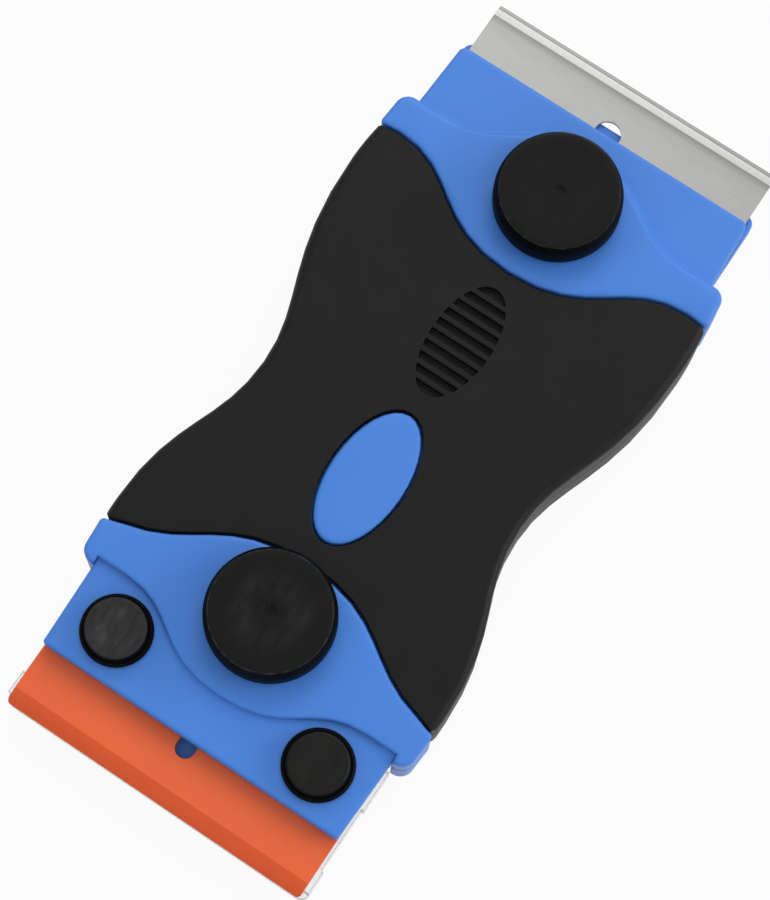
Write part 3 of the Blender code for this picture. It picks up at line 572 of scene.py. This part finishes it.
orange_acetal, tree, shader, place = finish(
    "orange_acetal", (*orange_flat, 1.0), Specular_IOR_Level=0.35, Subsurface_Weight=0.08,
    Subsurface_Radius=(1.0, 0.4, 0.2), Subsurface_Scale=0.0010)
along = step(tree, "ShaderNodeSeparateXYZ", Vector=place).outputs["Y"]
# Painted shade: in front of orange_bevel_line the bevel is painted a deeper orange.
base = step(tree, "ShaderNodeMix", Factor=sum_of(tree, 'LESS_THAN', along, orange_bevel_line))
base.data_type = 'RGBA'
base.inputs[6].default_value = (*orange_flat, 1.0)
base.inputs[7].default_value = (*orange_bevel_shade, 1.0)
drift = noise(tree, place, scale=90.0, detail=3.0, roughness=0.6)
tint = rescale(tree, drift, middle_part, orange_drift)
feed(tree, shader.inputs["Base Color"], shade(tree, base.outputs[2], tint))
feed(tree, shader.inputs["Roughness"], rescale(tree, drift, full_range, orange_gloss))
cutter_lines = noise(tree, stretched(tree, place, cutter_stretch), scale=7000.0, detail=3.0)
feed(tree, shader.inputs["Normal"], relief(tree, cutter_lines, cutter_depth))
dress(orange_acetal, "orange_plastic", "plastic_blade")


# Clear blade guard. A thin tray of clear polystyrene that clips under the orange blade and keeps
# its edge off the table. It is moulded with a polished surface, slightly worn by handling, and its
# edges are painted dark, as painted shade.

guard_edge_shade_tone = (0.10, 0.11, 0.14, 1.0)
guard_wall_tone = (0.95, 0.955, 0.97, 1.0)
guard_edge_width = 0.00030
guard_edge_turn = (0.80, 0.97)  # how far the rolled edge turns from the wall, 1 is not at all
guard_gloss = (0.03, 0.16)
guard_flow_depth = 0.000006

clear_styrene, tree, shader, place = finish("clear_styrene", (0.9, 0.92, 0.93, 0.45),
                                            Transmission_Weight=0.92, IOR=1.49)
# Painted shade: where the rolled-edge normal turns away from the wall, the colour goes dark.
edge = step(tree, "ShaderNodeBevel", Radius=guard_edge_width)
edge.samples = 12
facing = step(tree, "ShaderNodeVectorMath", Vector=edge.outputs["Normal"])
facing.operation = 'DOT_PRODUCT'
feed(tree, facing.inputs[1], tree.nodes.new("ShaderNodeNewGeometry").outputs["True Normal"])
wall = rescale(tree, facing.outputs["Value"], guard_edge_turn, full_range)
clear = step(tree, "ShaderNodeMix", Factor=wall)
clear.data_type = 'RGBA'
clear.inputs[6].default_value = guard_edge_shade_tone
clear.inputs[7].default_value = guard_wall_tone
feed(tree, shader.inputs["Base Color"], clear.outputs[2])
haze = noise(tree, place, scale=300.0, detail=4.0, roughness=0.6)
feed(tree, shader.inputs["Roughness"], rescale(tree, haze, full_range, guard_gloss))
feed(tree, shader.inputs["Normal"], relief(tree, haze, guard_flow_depth))
dress(clear_styrene, "clear_plastic", "blade_guard")


# Steel hardware. Zinc-plated studs, nuts and washers, most of them inside the handle. The studs
# are pressed into the knobs, the nuts lie captive in the clamp plates and the washers are sunk
# under the knobs. The plating is a little uneven in tone and gloss.

zinc_tones = ((0.52, 0.53, 0.55, 1.0), (0.68, 0.68, 0.67, 1.0))
zinc_gloss = (0.28, 0.44)
zinc_depth = 0.000004

zinc, tree, shader, place = finish("zinc_plate", (0.5, 0.5, 0.5, 1.0), Metallic=1.0)
cloud = noise(tree, place, scale=1200.0, detail=4.0, roughness=0.6)
plating = step(tree, "ShaderNodeValToRGB", Fac=cloud)
for stop, position, tone in zip(plating.color_ramp.elements, middle_part, zinc_tones):
    stop.position = position
    stop.color = tone
feed(tree, shader.inputs["Base Color"], plating.outputs["Color"])
feed(tree, shader.inputs["Roughness"], rescale(tree, cloud, full_range, zinc_gloss))
feed(tree, shader.inputs["Normal"], relief(tree, cloud, zinc_depth))
for end in ("metal_end", "plastic_end"):
    dress(zinc, "hardware_steel", f"{end}_stud", f"{end}_washer", f"{end}_nut")


# Locating pins. Two plain steel pins, cut from drawn rod with a small chamfer at each end, pressed
# through the upper plate and standing in the slots of the plastic blade.

pin_chamfer = 0.00018
for side in ("left", "right"):
    low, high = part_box(f"{side}_locating_pin")
    radius = (high.x - low.x) / 2
    profile = [(0.0, high.z), (radius - pin_chamfer, high.z), (radius, high.z - pin_chamfer),
               (radius, low.z + pin_chamfer), (radius - pin_chamfer, low.z), (0.0, low.z)]
    middle = ((low.x + high.x) / 2, (low.y + high.y) / 2)
    pin = turned(f"{side}_drawn_pin", profile, middle, (zinc,), len(profile), sides=48)
    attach(pin, "holder")
    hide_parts(f"{side}_locating_pin")


# Housing screws. Four pan-head screws driven up from the back, their heads sunk in the lower half.
# Each head is domed at its rim and has a tapered cross recess for the driver.

head_height = 0.0012
head_roll = 0.0005
head_roll_turns = (15.0, 35.0, 55.0, 75.0, 90.0)
head_back_edge = 0.00005
tip_inset = 0.0004
tip_length = 0.0006
recess_reach = 0.00125
recess_half_width = 0.00032
recess_depth = 0.00075
recess_taper = 0.55
face_shares = (0.70, 0.62, 0.55, 0.48, 0.41, 0.34, 0.27, 0.21, 0.16, 0.12, 0.08, 0.04)
face_reach = 0.00001
recess_turn = math.radians(25.0)
for corner in ("front_left", "front_right", "rear_left", "rear_right"):
    low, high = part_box(f"housing_screw_{corner}")
    head_radius = (high.x - low.x) / 2
    shank_radius = head_radius / 2
    head_back = low.z + head_height
    profile = [(0.0, high.z), (shank_radius - tip_inset, high.z),
               (shank_radius, high.z - tip_length), (shank_radius, head_back),
               (head_radius - head_back_edge, head_back), (head_radius, head_back - head_back_edge)]
    for turn in head_roll_turns:
        profile.append((head_radius - head_roll + head_roll * math.cos(math.radians(turn)),
                        low.z + head_roll - head_roll * math.sin(math.radians(turn))))
    profile += [(head_radius * share, low.z) for share in face_shares] + [(0.0, low.z)]
    middle = ((low.x + high.x) / 2, (low.y + high.y) / 2)
    screw = turned(f"pan_head_screw_{corner}", profile, middle, (zinc,), len(profile))
    for vert in screw.data.vertices:
        near, far = sorted((abs(vert.co.x), abs(vert.co.y)))
        on_face = vert.co.z <= low.z + face_reach
        if on_face and near < recess_half_width and far < recess_reach:
            vert.co.z = low.z + recess_depth * (1.0 - recess_taper * far / recess_reach)
    screw.data.set_sharp_from_angle(angle=recess_turn)
    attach(screw, "holder")
    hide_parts(f"housing_screw_{corner}")
